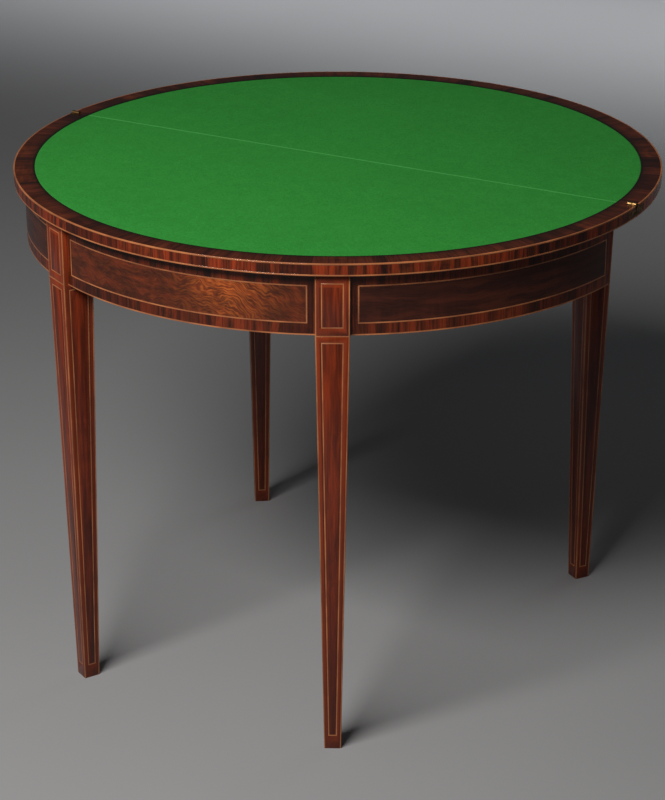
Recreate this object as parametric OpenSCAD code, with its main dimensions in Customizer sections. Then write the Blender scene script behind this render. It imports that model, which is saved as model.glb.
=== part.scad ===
// Demi-lune fold-over card table, shown open: two D-shaped leaves make a round
// baize top on a half-round frieze with two front legs, and two gate legs swing
// out on fly rails to carry the flap. X runs along the leaf joint, Y towards the
// flap, Z up; the origin is on the floor under the centre of the round top.

/* [Top] */
// Radius of the round top
top_r = 465; // [400:1:560]
// Height of the playing surface above the floor
table_h = 720; // [600:1:870]
// Thickness of each leaf
leaf_t = 17; // [14:0.5:21]
// Width of the crossbanded border round the baize
border_w = 30; // [20:1:40]
// Thickness of the veneers on the leaves and the frieze
veneer_t = 1.4; // [1:0.1:1.8]
// Section of the square strings let into the leaf edges
edge_string = 2.2; // [1.9:0.1:2.6]
// How far the baize lies below the border
baize_drop = 0.3; // [0.2:0.1:0.4]

/* [Frieze] */
// How far the leaves oversail the frieze
overhang = 15; // [10:1:21]
// Height of the frieze
frieze_h = 86; // [72:1:100]
// Thickness of the curved frieze rails, veneer included
frieze_t = 18; // [14:1:22]
// Width of the strings in the frieze and legs
string_w = 1.8; // [1.4:0.1:2.2]
// Depth of the strings in the leg faces
string_d = 0.8; // [0.6:0.1:1]
// Frieze panel string to the leaf above
panel_top = 17.5; // [14:0.5:22]
// Frieze panel string to the frieze's lower edge
panel_bottom = 16; // [13:0.5:20]
// Frieze panel string to the nearest leg or frieze end
panel_side = 10; // [8:0.5:14]

/* [Legs] */
// Angle of each front leg from the middle of the frieze
leg_angle = 28.3; // [23:0.1:34]
// Width of the square legs at the frieze
leg_w = 45; // [38:1:50]
// Width of the square legs at the floor
foot_w = 23.5; // [19:0.5:28]
// How far the front legs stand proud of the frieze
leg_proud = 6; // [4:0.5:10]
// How far the gate legs stand proud of the frieze when closed
gate_proud = 4; // [3:0.5:5]
// String panel to the leg's edge at the top of the leg
leg_panel_in = 7.7; // [6:0.1:9.5]
// String panel to the leg's edge at the foot
foot_panel_in = 5.8; // [4.8:0.1:7]
// Top of the leg's string panel below the frieze
leg_panel_drop = 8; // [6:0.5:12]
// Foot of the leg's string panel above the floor
foot_panel_up = 20; // [14:1:30]
// Block panel string to the leaf above
block_panel_top = 12.5; // [10:0.5:17]
// Block panel string to the frieze's lower edge
block_panel_bottom = 11.5; // [8:0.5:15]

/* [Gates] */
// Distance of each gate pivot from the middle of the table
pivot_x = 93; // [75:1:115]
// Thickness of the fly rails and the back rail
rail_t = 22; // [18:1:26]
// Height of the fly rails
rail_h = 70; // [56:1:72]
// Angle that each gate is swung out from closed
gate_open = 55.7; // [45:0.1:60]
// Radius of the knuckle joint's pin
pivot_pin_r = 3; // [2.5:0.1:3.6]
// Number of knuckles in each gate's joint
knuckles = 5; // [3:2:7]

/* [Hinges] */
// Radius of the leaf hinges' knuckle
hinge_r = 3; // [2.5:0.1:3.5]
// Radius of the leaf hinges' pin
hinge_pin_r = 1.2; // [1:0.1:1.4]
// Length of each leaf hinge's knuckle
hinge_knuckle = 6; // [5:0.5:7]
// Length of each hinge plate along the rim
hinge_plate = 26; // [22:1:31]
// Height of each hinge plate
hinge_plate_h = 9; // [7.5:0.5:10]
// Top edge of each hinge plate below the playing surface
hinge_plate_down = 4; // [3:0.5:4.5]
// Width of the neck that joins each plate to its knuckle
hinge_neck_w = 3; // [2.5:0.1:3.5]
// Thickness of that neck
hinge_neck_h = 5; // [4:0.1:6]
// Outer end of the knuckle inside the rim
hinge_end_in = 1; // [0.5:0.1:2]
// Radius of the hinge screws
hinge_screw_r = 1.6; // [1.3:0.1:1.9]
// Length of the hinge screws
hinge_screw_l = 9; // [7:0.5:12]

/* [Inside] */
// Length of the blocks that hold the top
block_l = 60; // [50:1:72]
// Width and height of those blocks
block_w = 20; // [17:1:24]
// Angle of the inner blocks from the middle of the frieze
block_inner_angle = 13; // [11:1:15]
// Angle of the outer blocks from the middle of the frieze
block_outer_angle = 56; // [52:1:62]
// Radius of the screws up into the leaf
top_screw_r = 2; // [1.7:0.1:2.4]
// Depth of those screws in the leaf
top_screw_in = 9; // [7:0.5:10]
// Height of those screws' heads
top_screw_head = 2; // [1.6:0.1:2.4]
// Lower edge of the back rail above the frieze's lower edge
back_rail_up = 4; // [2:0.5:8]
// End of the spacer block short of each knuckle joint
spacer_short = 10; // [6:1:16]

/* [Clearances] */
// Gap between the leaves, in the joint and when folded
leaf_gap = 0.6; // [0.5:0.1:0.7]
// Gap over the tops of the gates
gate_top_gap = 0.4; // [0.4:0.1:0.5]
// Gap between a closed gate and the frieze
gate_gap = 1; // [1:0.1:1.2]
// Gap between neighbouring knuckles
knuckle_gap = 0.4; // [0.4:0.05:0.5]
// Radial running clearance of the pivot pins
run_gap = 0.05; // [0.04:0.01:0.06]
// Gap round the leaf hinges' knuckle and between its two halves
hinge_gap = 0.4; // [0.3:0.05:0.5]
// Hinge screw heads below the rim
screw_sink = 0.1; // [0.1:0.05:0.2]

/* [Hidden] */
$fn = 96;
// Overlap that joins two shapes of one piece
join = 0.01;
// How far a cutter sticks out of the face that it cuts
clear = 1;
// Longer than anything in the table
big = 4 * top_r;

// Heights
leaf_z = table_h - leaf_t;
frieze_z = leaf_z - frieze_h;
panel_z0 = frieze_z + panel_bottom;
panel_z1 = leaf_z - panel_top;
hinge_z = table_h + leaf_gap / 2;

// Radii
baize_r = top_r - border_w;
frieze_r = top_r - overhang;
rail_r = frieze_r - veneer_t;
inner_r = frieze_r - frieze_t;
leg_r = frieze_r + leg_proud - leg_w / 2;

// Angles at the table's centre
leg_half = asin(leg_w / 2 / frieze_r);
side_in = panel_side / frieze_r * 180 / PI;
// Gates, in their closed place
gate_back_y = -0.5;
rail_y = gate_back_y - rail_t / 2;
gate_leg_y = gate_back_y - leg_w / 2;
gate_leg_x = frieze_r + gate_proud - leg_w / 2;
gate_top = leaf_z - gate_top_gap;
rail_z0 = gate_top - rail_h;
knuckle_r = rail_t / 2;
knuckle_h = rail_h / knuckles;
shoulder = knuckle_r + 1;

// The frieze stops short of the joint by a closed gate leg, and the back rail stands there
back_rail_y = gate_back_y - leg_w - gate_gap;
frieze_end = 90 - asin(-back_rail_y / frieze_r);

// Leaf hinges and the pocket for them, at the right-hand end of the joint
fixed_knuckle_x = top_r - hinge_end_in - hinge_knuckle;
flap_knuckle_x = fixed_knuckle_x - hinge_gap - hinge_knuckle;
pocket_x = flap_knuckle_x - hinge_gap / 2;
neck_y = hinge_r + hinge_gap;
pocket_y = neck_y + hinge_neck_w;
plate_z = table_h - hinge_plate_down - hinge_plate_h;

// ---- Shared shapes ----

// Half ring from radius a to radius b, on the fixed side of the joint
module half_ring(a, b, z0, z1) {
  intersection() {
    translate([0, 0, z0]) difference() {
      cylinder(r = b, h = z1 - z0);
      if (a > 0) translate([0, 0, -clear]) cylinder(r = a, h = z1 - z0 + 2 * clear);
    }
    translate([-big / 2, -big - leaf_gap / 2, z0 - clear]) cube([big, big, z1 - z0 + 2 * clear]);
  }
}

// Turns a piece of the fixed leaf into the flap's
module to_flap() {
  mirror([0, 1, 0]) children();
}

module to_left() {
  mirror([1, 0, 0]) children();
}

module both_sides() {
  children();
  to_left() children();
}

// Swings a closed right-hand gate out to where it stands
module gate_place() {
  translate([pivot_x, rail_y, 0]) rotate([0, 0, gate_open]) translate([-pivot_x, -rail_y, 0]) children();
}

// Wedge about the table's centre between two angles from the middle of the frieze
module wedge(z0, z1, from, to) {
  middle = (from + to) / 2;
  points = [for (angle = [from, middle, to]) big * [sin(angle), -cos(angle)]];
  translate([0, 0, z0]) linear_extrude(height = z1 - z0) polygon(concat([[0, 0]], points));
}

// Part of a ring between two angles from the middle of the frieze
module ring_part(a, b, z0, z1, from, to) {
  intersection() {
    wedge(z0, z1, from, to);
    difference() {
      cylinder(r = b, h = big);
      cylinder(r = a, h = 2 * big);
    }
  }
}

// ---- Leaves, drawn as the fixed leaf ----

module hinge_pocket() {
  translate([pocket_x, -pocket_y, table_h - hinge_neck_h]) cube([big, pocket_y + clear, big]);
  translate([pocket_x, 0, hinge_z]) rotate([0, 90, 0]) cylinder(r = hinge_r + hinge_gap, h = big);
}

// Block whose outer skin is the hinge plate
module plate_block() {
  translate([pocket_x, -hinge_plate - leaf_gap / 2, plate_z]) cube([big, hinge_plate, hinge_plate_h]);
}

module hinge_screws() {
  for (along = [0.45, 0.82]) {
    angle = -along * hinge_plate / top_r * 180 / PI;
    rotate([0, 0, angle]) translate([top_r - hinge_screw_l, 0, plate_z + hinge_plate_h / 2])
      rotate([0, 90, 0]) cylinder(r = hinge_screw_r, h = hinge_screw_l - screw_sink);
  }
}

module arris_strings() {
  half_ring(top_r - edge_string, top_r, table_h - edge_string, table_h);
  half_ring(top_r - edge_string, top_r, leaf_z, leaf_z + edge_string);
}

module leaf_core() {
  difference() {
    half_ring(0, top_r - veneer_t, leaf_z, table_h - veneer_t);
    half_ring(top_r - edge_string, top_r, table_h - edge_string, table_h);
    half_ring(top_r - edge_string, top_r, leaf_z - clear, leaf_z + edge_string);
    both_sides() hinge_pocket();
    both_sides() hinge_screws();
  }
}

module leaf_crossbanding() {
  difference() {
    half_ring(baize_r, top_r - edge_string, table_h - veneer_t, table_h);
    both_sides() hinge_pocket();
  }
}

module leaf_edge_banding() {
  difference() {
    half_ring(top_r - veneer_t, top_r, leaf_z + edge_string, table_h - edge_string);
    both_sides() hinge_pocket();
    both_sides() plate_block();
  }
}

module leaf_stringing() {
  difference() {
    arris_strings();
    both_sides() hinge_pocket();
  }
}

module leaf_baize() {
  half_ring(0, baize_r, table_h - veneer_t, table_h - baize_drop);
}

module fixed_leaf() {
  color("#6b2f18") difference() {
    leaf_core();
    top_screw_set();
  }
}

module fixed_crossbanding() { color("#7a3a1e") leaf_crossbanding(); }
module fixed_edge_banding() { color("#7a3a1e") leaf_edge_banding(); }
module fixed_stringing() { color("#d9a86a") leaf_stringing(); }
module fixed_baize() { color("#2f9a3c") leaf_baize(); }

module flap_leaf() { color("#6b2f18") to_flap() leaf_core(); }
module flap_crossbanding() { color("#7a3a1e") to_flap() leaf_crossbanding(); }
module flap_edge_banding() { color("#7a3a1e") to_flap() leaf_edge_banding(); }
module flap_stringing() { color("#d9a86a") to_flap() leaf_stringing(); }
module flap_baize() { color("#2f9a3c") to_flap() leaf_baize(); }

// ---- Leaf hinges, drawn for the right-hand end ----

// Knuckle with the hole for the pin, gap wider all round than the pin
module hinge_knuckle_tube(x0, gap) {
  difference() {
    translate([x0, 0, hinge_z]) rotate([0, 90, 0]) cylinder(r = hinge_r, h = hinge_knuckle);
    translate([x0 - clear, 0, hinge_z]) rotate([0, 90, 0])
      cylinder(r = hinge_pin_r + gap, h = hinge_knuckle + 2 * clear);
  }
}

// Plate on the rim with a neck under the border, running from x0 to the rim
module hinge_plate_and_neck(x0) {
  difference() {
    intersection() {
      cylinder(r = top_r, h = big);
      union() {
        difference() {
          plate_block();
          cylinder(r = top_r - veneer_t, h = big);
        }
        translate([x0, -pocket_y, table_h - hinge_neck_h]) cube([big, hinge_neck_w, hinge_neck_h]);
        translate([x0, -pocket_y, table_h - hinge_neck_h])
          cube([hinge_knuckle, pocket_y - leaf_gap / 2, hinge_neck_h]);
      }
    }
    hinge_screws();
    translate([pocket_x - clear, 0, hinge_z]) rotate([0, 90, 0])
      cylinder(r = hinge_r + hinge_gap, h = big);
  }
}

// Web that joins a knuckle to its neck
module hinge_web(x0) {
  difference() {
    translate([x0, -neck_y, table_h - hinge_neck_h])
      cube([hinge_knuckle, neck_y - leaf_gap / 2, hinge_neck_h]);
    translate([x0 - clear, 0, hinge_z]) rotate([0, 90, 0])
      cylinder(r = hinge_r - join, h = hinge_knuckle + 2 * clear);
  }
}

module fixed_hinge() {
  hinge_plate_and_neck(fixed_knuckle_x);
  hinge_web(fixed_knuckle_x);
  hinge_knuckle_tube(fixed_knuckle_x, run_gap);
}

module flap_hinge() {
  to_flap() {
    hinge_plate_and_neck(flap_knuckle_x);
    hinge_web(flap_knuckle_x);
    hinge_knuckle_tube(flap_knuckle_x, 0);
  }
}

module hinge_pin() {
  translate([flap_knuckle_x, 0, hinge_z]) rotate([0, 90, 0])
    cylinder(r = hinge_pin_r, h = 2 * hinge_knuckle + hinge_gap);
}

module fixed_hinge_right() { color("#c9a24a") fixed_hinge(); }
module fixed_hinge_left() { color("#c9a24a") to_left() fixed_hinge(); }
module flap_hinge_right() { color("#c9a24a") flap_hinge(); }
module flap_hinge_left() { color("#c9a24a") to_left() flap_hinge(); }
module hinge_pin_right() { color("#a88a45") hinge_pin(); }
module hinge_pin_left() { color("#a88a45") to_left() hinge_pin(); }
module fixed_hinge_screws_right() { color("#b59448") hinge_screws(); }
module fixed_hinge_screws_left() { color("#b59448") to_left() hinge_screws(); }
module flap_hinge_screws_right() { color("#b59448") to_flap() hinge_screws(); }
module flap_hinge_screws_left() { color("#b59448") to_left() to_flap() hinge_screws(); }

// ---- Frieze ----

// Space that a front leg's block takes out of the frieze
module leg_slot(side) {
  rotate([0, 0, side * leg_angle]) translate([-leg_w / 2, -leg_r - leg_w / 2, frieze_z - clear])
    cube([leg_w, leg_w, frieze_h + 2 * clear]);
}

// Rail of one bay; a closed gate leg meets its outer end, which is cut straight across
module frieze_bay(from, to) {
  difference() {
    ring_part(inner_r, rail_r, frieze_z, leaf_z, from, to);
    leg_slot(1);
    leg_slot(-1);
    translate([-big, back_rail_y, 0]) cube(2 * big);
  }
}

// Panel of a bay between p0 and p1, inset by i all round, as a wedge through the veneer
module panel_wedge(p0, p1, i) {
  turn = i / frieze_r * 180 / PI;
  wedge(panel_z0 + i, panel_z1 - i, p0 + turn, p1 - turn);
}

// Face veneer ring that the panel, the string and the crossband are cut from
module veneer_ring() {
  difference() {
    cylinder(r = frieze_r, h = big);
    cylinder(r = rail_r, h = 2 * big);
  }
}

module bay_panel(p0, p1) {
  intersection() {
    panel_wedge(p0, p1, string_w);
    veneer_ring();
  }
}

// Panel string of a bay and the string along its lower edge
module bay_strings(from, to, p0, p1) {
  intersection() {
    veneer_ring();
    difference() {
      panel_wedge(p0, p1, 0);
      panel_wedge(p0, p1, string_w);
    }
  }
  difference() {
    ring_part(rail_r, frieze_r, frieze_z, frieze_z + string_w, from, to);
    leg_slot(1);
    leg_slot(-1);
  }
}

module bay_band(from, to, p0, p1) {
  difference() {
    ring_part(rail_r, frieze_r, frieze_z + string_w, leaf_z, from, to);
    leg_slot(1);
    leg_slot(-1);
    panel_wedge(p0, p1, 0);
  }
}

panel_at_leg = leg_angle + leg_half + side_in;
panel_at_end = frieze_end - side_in;
panel_front = leg_angle - leg_half - side_in;

module frieze_front() { color("#7c3317") frieze_bay(-leg_angle, leg_angle); }
module frieze_right() { color("#7c3317") frieze_bay(leg_angle, frieze_end); }
module frieze_left() { color("#7c3317") to_left() frieze_bay(leg_angle, frieze_end); }

module frieze_panel_front() { color("#9a4a20") bay_panel(-panel_front, panel_front); }
module frieze_panel_right() { color("#9a4a20") bay_panel(panel_at_leg, panel_at_end); }
module frieze_panel_left() { color("#9a4a20") to_left() bay_panel(panel_at_leg, panel_at_end); }

module frieze_band_front() {
  color("#7a3a1e") bay_band(-leg_angle, leg_angle, -panel_front, panel_front);
}
module frieze_band_right() {
  color("#7a3a1e") bay_band(leg_angle, frieze_end, panel_at_leg, panel_at_end);
}
module frieze_band_left() {
  color("#7a3a1e") to_left() bay_band(leg_angle, frieze_end, panel_at_leg, panel_at_end);
}

module frieze_stringing_front() {
  color("#d9a86a") bay_strings(-leg_angle, leg_angle, -panel_front, panel_front);
}
module frieze_stringing_right() {
  color("#d9a86a") bay_strings(leg_angle, frieze_end, panel_at_leg, panel_at_end);
}
module frieze_stringing_left() {
  color("#d9a86a") to_left() bay_strings(leg_angle, frieze_end, panel_at_leg, panel_at_end);
}

// ---- Legs, drawn standing on the origin with the outer face towards -Y ----

// Prism of the leg's outline, inset by i, running right through along Y
module leg_prism(top, knee, i) {
  rotate([90, 0, 0]) linear_extrude(height = 2 * leg_w, center = true) polygon([
    [-leg_w / 2 + i, top], [-leg_w / 2 + i, knee], [-foot_w / 2 + i, 0],
    [foot_w / 2 - i, 0], [leg_w / 2 - i, knee], [leg_w / 2 - i, top]
  ]);
}

module leg_solid(top, knee) {
  intersection() {
    leg_prism(top, knee, 0);
    rotate([0, 0, 90]) leg_prism(top, knee, 0);
  }
}

// Square strings down the four arrises
module leg_arrises(top, knee) {
  difference() {
    leg_solid(top, knee);
    leg_prism(top + clear, knee, string_w);
    rotate([0, 0, 90]) leg_prism(top + clear, knee, string_w);
  }
}

// Outline string of a four-sided panel, string_w wide
module panel_outline(x0, z0, x1, z1) {
  difference() {
    polygon([[-x0, z0], [x0, z0], [x1, z1], [-x1, z1]]);
    polygon([
      [-x0 + string_w, z0 + string_w], [x0 - string_w, z0 + string_w],
      [x1 - string_w, z1 - string_w], [-x1 + string_w, z1 - string_w]
    ]);
  }
}

// String panel let into the tapered part of one face, or its groove if out is above 0
module taper_panel(knee, out) {
  lean = atan((leg_w - foot_w) / 2 / knee);
  z0 = foot_panel_up;
  z1 = knee - leg_panel_drop;
  x0 = foot_w / 2 - foot_panel_in + (leg_w - foot_w) / 2 * z0 / knee;
  x1 = leg_w / 2 - leg_panel_in;
  translate([0, -foot_w / 2, 0]) rotate([lean, 0, 0]) translate([0, string_d, 0]) rotate([90, 0, 0])
    linear_extrude(height = string_d + out) panel_outline(x0, z0 / cos(lean), x1, z1 / cos(lean));
}

module taper_panels(knee, out) {
  for (turn = [0, 90, 180, 270]) rotate([0, 0, turn]) taper_panel(knee, out);
}

// String panel on the outer face of the leg's block and the string under it, or their grooves
module block_panel(out) {
  translate([0, string_d - leg_w / 2, 0]) rotate([90, 0, 0]) linear_extrude(height = string_d + out) {
    x = leg_w / 2 - leg_panel_in;
    panel_outline(x, frieze_z + block_panel_bottom, x, leaf_z - block_panel_top);
    translate([string_w - leg_w / 2, frieze_z]) square([leg_w - 2 * string_w, string_w]);
  }
}

// Room for the arris strings, cut off a leg that ends at the height top
module arris_cut(top) {
  difference() {
    translate([-leg_w, -leg_w, -clear]) cube([2 * leg_w, 2 * leg_w, top + 2 * clear]);
    leg_prism(top + 2 * clear, frieze_z, string_w);
    rotate([0, 0, 90]) leg_prism(top + 2 * clear, frieze_z, string_w);
  }
}

module leg_strings(top) {
  leg_arrises(top, frieze_z);
  taper_panels(frieze_z, 0);
  block_panel(0);
}

module leg_core(top) {
  difference() {
    leg_solid(top, frieze_z);
    arris_cut(top);
    taper_panels(frieze_z, clear);
    block_panel(clear);
  }
}

module front_leg_place(side) {
  rotate([0, 0, side * leg_angle]) translate([0, -leg_r, 0]) children();
}

module leg_right() { color("#84381a") front_leg_place(1) leg_core(leaf_z); }
module leg_left() { color("#84381a") front_leg_place(-1) leg_core(leaf_z); }
module leg_stringing_right() { color("#d9a86a") front_leg_place(1) leg_strings(leaf_z); }
module leg_stringing_left() { color("#d9a86a") front_leg_place(-1) leg_strings(leaf_z); }

// ---- Gates, drawn closed on the right, with the knuckle joint at the pivot ----

module gate_leg_place() {
  translate([gate_leg_x, gate_leg_y, 0]) rotate([0, 0, 90]) children();
}

// One level of the knuckle joint: a round end about the pivot and its root
module knuckle(level, gap, towards) {
  translate([pivot_x, rail_y, rail_z0 + level * knuckle_h + gap]) {
    cylinder(r = knuckle_r, h = knuckle_h - 2 * gap);
    translate([min(0, towards * (shoulder + join)), -rail_t / 2, 0])
      cube([shoulder + join, rail_t, knuckle_h - 2 * gap]);
  }
}

module pivot_bore(r) {
  translate([pivot_x, rail_y, rail_z0 - clear]) cylinder(r = r, h = rail_h + 2 * clear);
}

module gate_rail() {
  rail_end = gate_leg_x - leg_w / 2;
  difference() {
    union() {
      translate([pivot_x + shoulder, gate_back_y - rail_t, rail_z0])
        cube([rail_end - pivot_x - shoulder, rail_t, rail_h]);
      for (level = [1:2:knuckles - 2]) knuckle(level, knuckle_gap, 1);
    }
    pivot_bore(pivot_pin_r + run_gap);
  }
}

module gate_pin() {
  translate([pivot_x, rail_y, rail_z0]) cylinder(r = pivot_pin_r, h = rail_h);
}

module gate_leg_right() { color("#84381a") gate_place() gate_leg_place() leg_core(gate_top); }
module gate_leg_left() { color("#84381a") to_left() gate_place() gate_leg_place() leg_core(gate_top); }
module gate_stringing_right() { color("#d9a86a") gate_place() gate_leg_place() leg_strings(gate_top); }
module gate_stringing_left() {
  color("#d9a86a") to_left() gate_place() gate_leg_place() leg_strings(gate_top);
}
module gate_rail_right() { color("#a87847") gate_place() gate_rail(); }
module gate_rail_left() { color("#a87847") to_left() gate_place() gate_rail(); }
module gate_pin_right() { color("#55504a") gate_pin(); }
module gate_pin_left() { color("#55504a") to_left() gate_pin(); }

// ---- Inner frame ----

// Fixed half of both knuckle joints
module knuckle_rail() {
  color("#a87847") difference() {
    union() {
      translate([shoulder - pivot_x, gate_back_y - rail_t, rail_z0])
        cube([2 * (pivot_x - shoulder), rail_t, rail_h]);
      both_sides() for (level = [0:2:knuckles - 1]) knuckle(level, 0, -1);
    }
    both_sides() pivot_bore(pivot_pin_r);
  }
}

module spacer_block() {
  spacer_x = pivot_x - rail_t - spacer_short;
  color("#b08553") translate([-spacer_x, back_rail_y, rail_z0])
    cube([2 * spacer_x, gate_back_y - rail_t - back_rail_y, rail_h]);
}

module back_rail() {
  color("#b08553") intersection() {
    translate([-big / 2, back_rail_y - rail_t, frieze_z + back_rail_up])
      cube([big, rail_t, frieze_h - back_rail_up]);
    cylinder(r = inner_r, h = big);
  }
}

module middle_rail() {
  color("#b08553") intersection() {
    translate([-rail_t / 2, -big, rail_z0]) cube([rail_t, big + back_rail_y - rail_t, leaf_z - rail_z0]);
    cylinder(r = inner_r, h = big);
  }
}

// Screw up through a block into the fixed leaf, at an angle from the middle, its head half sunk
module top_screw(angle) {
  head_z = leaf_z - block_w - top_screw_head / 2;
  rotate([0, 0, angle]) translate([0, -inner_r + block_w / 2, head_z]) {
    cylinder(r = top_screw_r, h = leaf_z + top_screw_in - head_z);
    cylinder(r = 2 * top_screw_r, h = top_screw_head);
  }
}

module top_screw_set() {
  for (angle = [-block_outer_angle, -block_inner_angle, block_inner_angle, block_outer_angle])
    top_screw(angle);
}

module holding_block(angle) {
  color("#b08553") difference() {
    intersection() {
      rotate([0, 0, angle]) translate([-block_l / 2, -inner_r, leaf_z - block_w])
        cube([block_l, block_w, block_w]);
      cylinder(r = inner_r, h = big);
    }
    top_screw_set();
  }
}

module block_inner_right() { holding_block(block_inner_angle); }
module block_inner_left() { holding_block(-block_inner_angle); }
module block_outer_right() { holding_block(block_outer_angle); }
module block_outer_left() { holding_block(-block_outer_angle); }
module top_screws() { color("#4c4a47") top_screw_set(); }

// ---- Assembly ----

fixed_leaf();
fixed_crossbanding();
fixed_edge_banding();
fixed_stringing();
fixed_baize();
flap_leaf();
flap_crossbanding();
flap_edge_banding();
flap_stringing();
flap_baize();
frieze_front();
frieze_right();
frieze_left();
frieze_panel_front();
frieze_panel_right();
frieze_panel_left();
frieze_band_front();
frieze_band_right();
frieze_band_left();
frieze_stringing_front();
frieze_stringing_right();
frieze_stringing_left();
leg_right();
leg_left();
leg_stringing_right();
leg_stringing_left();
gate_leg_right();
gate_leg_left();
gate_stringing_right();
gate_stringing_left();
gate_rail_right();
gate_rail_left();
gate_pin_right();
gate_pin_left();
back_rail();
knuckle_rail();
spacer_block();
middle_rail();
block_inner_right();
block_inner_left();
block_outer_right();
block_outer_left();
top_screws();
fixed_hinge_right();
fixed_hinge_left();
flap_hinge_right();
flap_hinge_left();
hinge_pin_right();
hinge_pin_left();
fixed_hinge_screws_right();
fixed_hinge_screws_left();
flap_hinge_screws_right();
flap_hinge_screws_left();
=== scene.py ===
import math

import bmesh
import bpy
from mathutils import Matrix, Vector, noise


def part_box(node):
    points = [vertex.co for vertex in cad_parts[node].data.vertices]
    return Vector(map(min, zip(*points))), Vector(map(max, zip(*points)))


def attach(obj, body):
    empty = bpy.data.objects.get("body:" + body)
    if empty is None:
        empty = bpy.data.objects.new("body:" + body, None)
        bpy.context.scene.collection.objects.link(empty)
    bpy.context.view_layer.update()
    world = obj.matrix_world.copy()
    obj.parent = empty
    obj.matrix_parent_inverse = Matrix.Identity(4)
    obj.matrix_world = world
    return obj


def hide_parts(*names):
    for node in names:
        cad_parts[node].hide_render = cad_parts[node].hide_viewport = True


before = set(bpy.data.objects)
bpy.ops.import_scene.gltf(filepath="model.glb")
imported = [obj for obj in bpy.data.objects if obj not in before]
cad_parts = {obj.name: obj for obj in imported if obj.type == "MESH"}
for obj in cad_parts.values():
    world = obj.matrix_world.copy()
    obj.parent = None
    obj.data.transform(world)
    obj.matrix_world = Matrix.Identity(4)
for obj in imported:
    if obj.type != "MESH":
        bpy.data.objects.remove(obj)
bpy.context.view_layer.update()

# The camera stands to the right of the front, at about standing eye height, with a
# long lens. It aims between the legs, a little below half the table's height.
AZIMUTH = math.radians(29.25)
ELEVATION = math.radians(22.82)
DISTANCE = 3.6245
AIM = Vector((-0.0089, 0.0005, 0.3356))

camera_data = bpy.data.cameras.new("camera")
camera_data.lens = 108.2
camera_data.sensor_width = 36
camera = bpy.data.objects.new("camera", camera_data)
bpy.context.scene.collection.objects.link(camera)
camera_back = Vector((
    math.sin(AZIMUTH) * math.cos(ELEVATION),
    -math.cos(AZIMUTH) * math.cos(ELEVATION),
    math.sin(ELEVATION),
))
camera.location = AIM + camera_back * DISTANCE
camera.rotation_mode = "QUATERNION"
camera.rotation_quaternion = (-camera_back).to_track_quat("-Z", "Y")
bpy.context.scene.camera = camera

# The sheet of pale board that the table stands on, with its own even mottling. It
# runs far past the view on every side and isn't part of the table.
floor_mesh = bpy.data.meshes.new("floor")
FLOOR_HALF = 12.0
floor_mesh.from_pydata(
    [(-FLOOR_HALF, -FLOOR_HALF, 0), (FLOOR_HALF, -FLOOR_HALF, 0),
     (FLOOR_HALF, FLOOR_HALF, 0), (-FLOOR_HALF, FLOOR_HALF, 0)],
    [], [(0, 1, 2, 3)],
)
floor = bpy.data.objects.new("floor", floor_mesh)
bpy.context.scene.collection.objects.link(floor)


WELD = 2e-6  # vertices of the CAD meshes nearer than this are one corner
WOOD_SPECULAR = 0.17
GRAIN_DEPTH = 0.0002


def add(tree, kind, sockets=None, **settings):
    """Adds a node; sockets maps each input to a value, or to an output to link it to."""
    made = tree.nodes.new(kind)
    for name, value in settings.items():
        setattr(made, name, value)
    for name, value in (sockets or {}).items():
        if isinstance(value, bpy.types.NodeSocket):
            tree.links.new(value, made.inputs[name])
        else:
            made.inputs[name].default_value = value
    return made


def new_material(name):
    """A new material with nodes: returns it, its tree, its shader and Object coordinates."""
    made = bpy.data.materials.new(name)
    made.use_nodes = True
    tree = made.node_tree
    shader = tree.nodes["Principled BSDF"]
    return made, tree, shader, add(tree, "ShaderNodeTexCoord").outputs["Object"]


floor_finish, tree, shader, place = new_material("floor_board")
mottle = add(tree, "ShaderNodeTexNoise", {"Vector": place, "Scale": 1.5, "Detail": 3})
tint = add(tree, "ShaderNodeMix", {
    "Factor": mottle.outputs["Fac"], "A": (0.262, 0.266, 0.272, 1), "B": (0.288, 0.292, 0.298, 1),
}, data_type="RGBA")
tree.links.new(tint.outputs["Result"], shader.inputs["Base Color"])
shader.inputs["Roughness"].default_value = 0.7
floor.data.materials.append(floor_finish)

# Soft studio light: one broad panel high in front, which leaves the right-hand side
# and the space under the table dark, a dim grey room, a panel over the far floor and
# a weak fill low at the back. Only the front panel shows in polished surfaces.
world = bpy.data.worlds.new("room")
world.use_nodes = True
world.node_tree.nodes["Background"].inputs["Color"].default_value = (0.62, 0.64, 0.67, 1)
world.node_tree.nodes["Background"].inputs["Strength"].default_value = 0.060
bpy.context.scene.world = world
bpy.context.scene.view_settings.view_transform = "Standard"
LIGHTS = (
    ("key", (-0.12, -2.2, 2.42), (0, 0, 0.6), (1.5, 0.85), 106.0, (1.0, 0.97, 0.94), 180),
    ("far_floor", (-1.45, 3.7, 1.6), (-1.45, 3.7, 0), (3.9, 1.7), 28.0, (0.97, 0.98, 1.0), 82),
    ("back_fill", (0.9, 3.3, 0.35), (0, 0, 1.3), (1.4, 0.4), 10.0, (0.97, 0.98, 1.0), 60),
)
for name, spot, towards, size, power, colour, spread in LIGHTS:
    lamp_data = bpy.data.lights.new(name, "AREA")
    lamp_data.shape = "RECTANGLE"
    lamp_data.size, lamp_data.size_y = size
    lamp_data.energy = power
    lamp_data.color = colour
    lamp_data.spread = math.radians(spread)
    lamp = bpy.data.objects.new(name, lamp_data)
    lamp.location = spot
    lamp.rotation_mode = "QUATERNION"
    lamp.rotation_quaternion = (Vector(towards) - Vector(spot)).to_track_quat("-Z", "Y")
    lamp.visible_glossy = name == "key"
    lamp.visible_camera = False
    bpy.context.scene.collection.objects.link(lamp)

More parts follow.
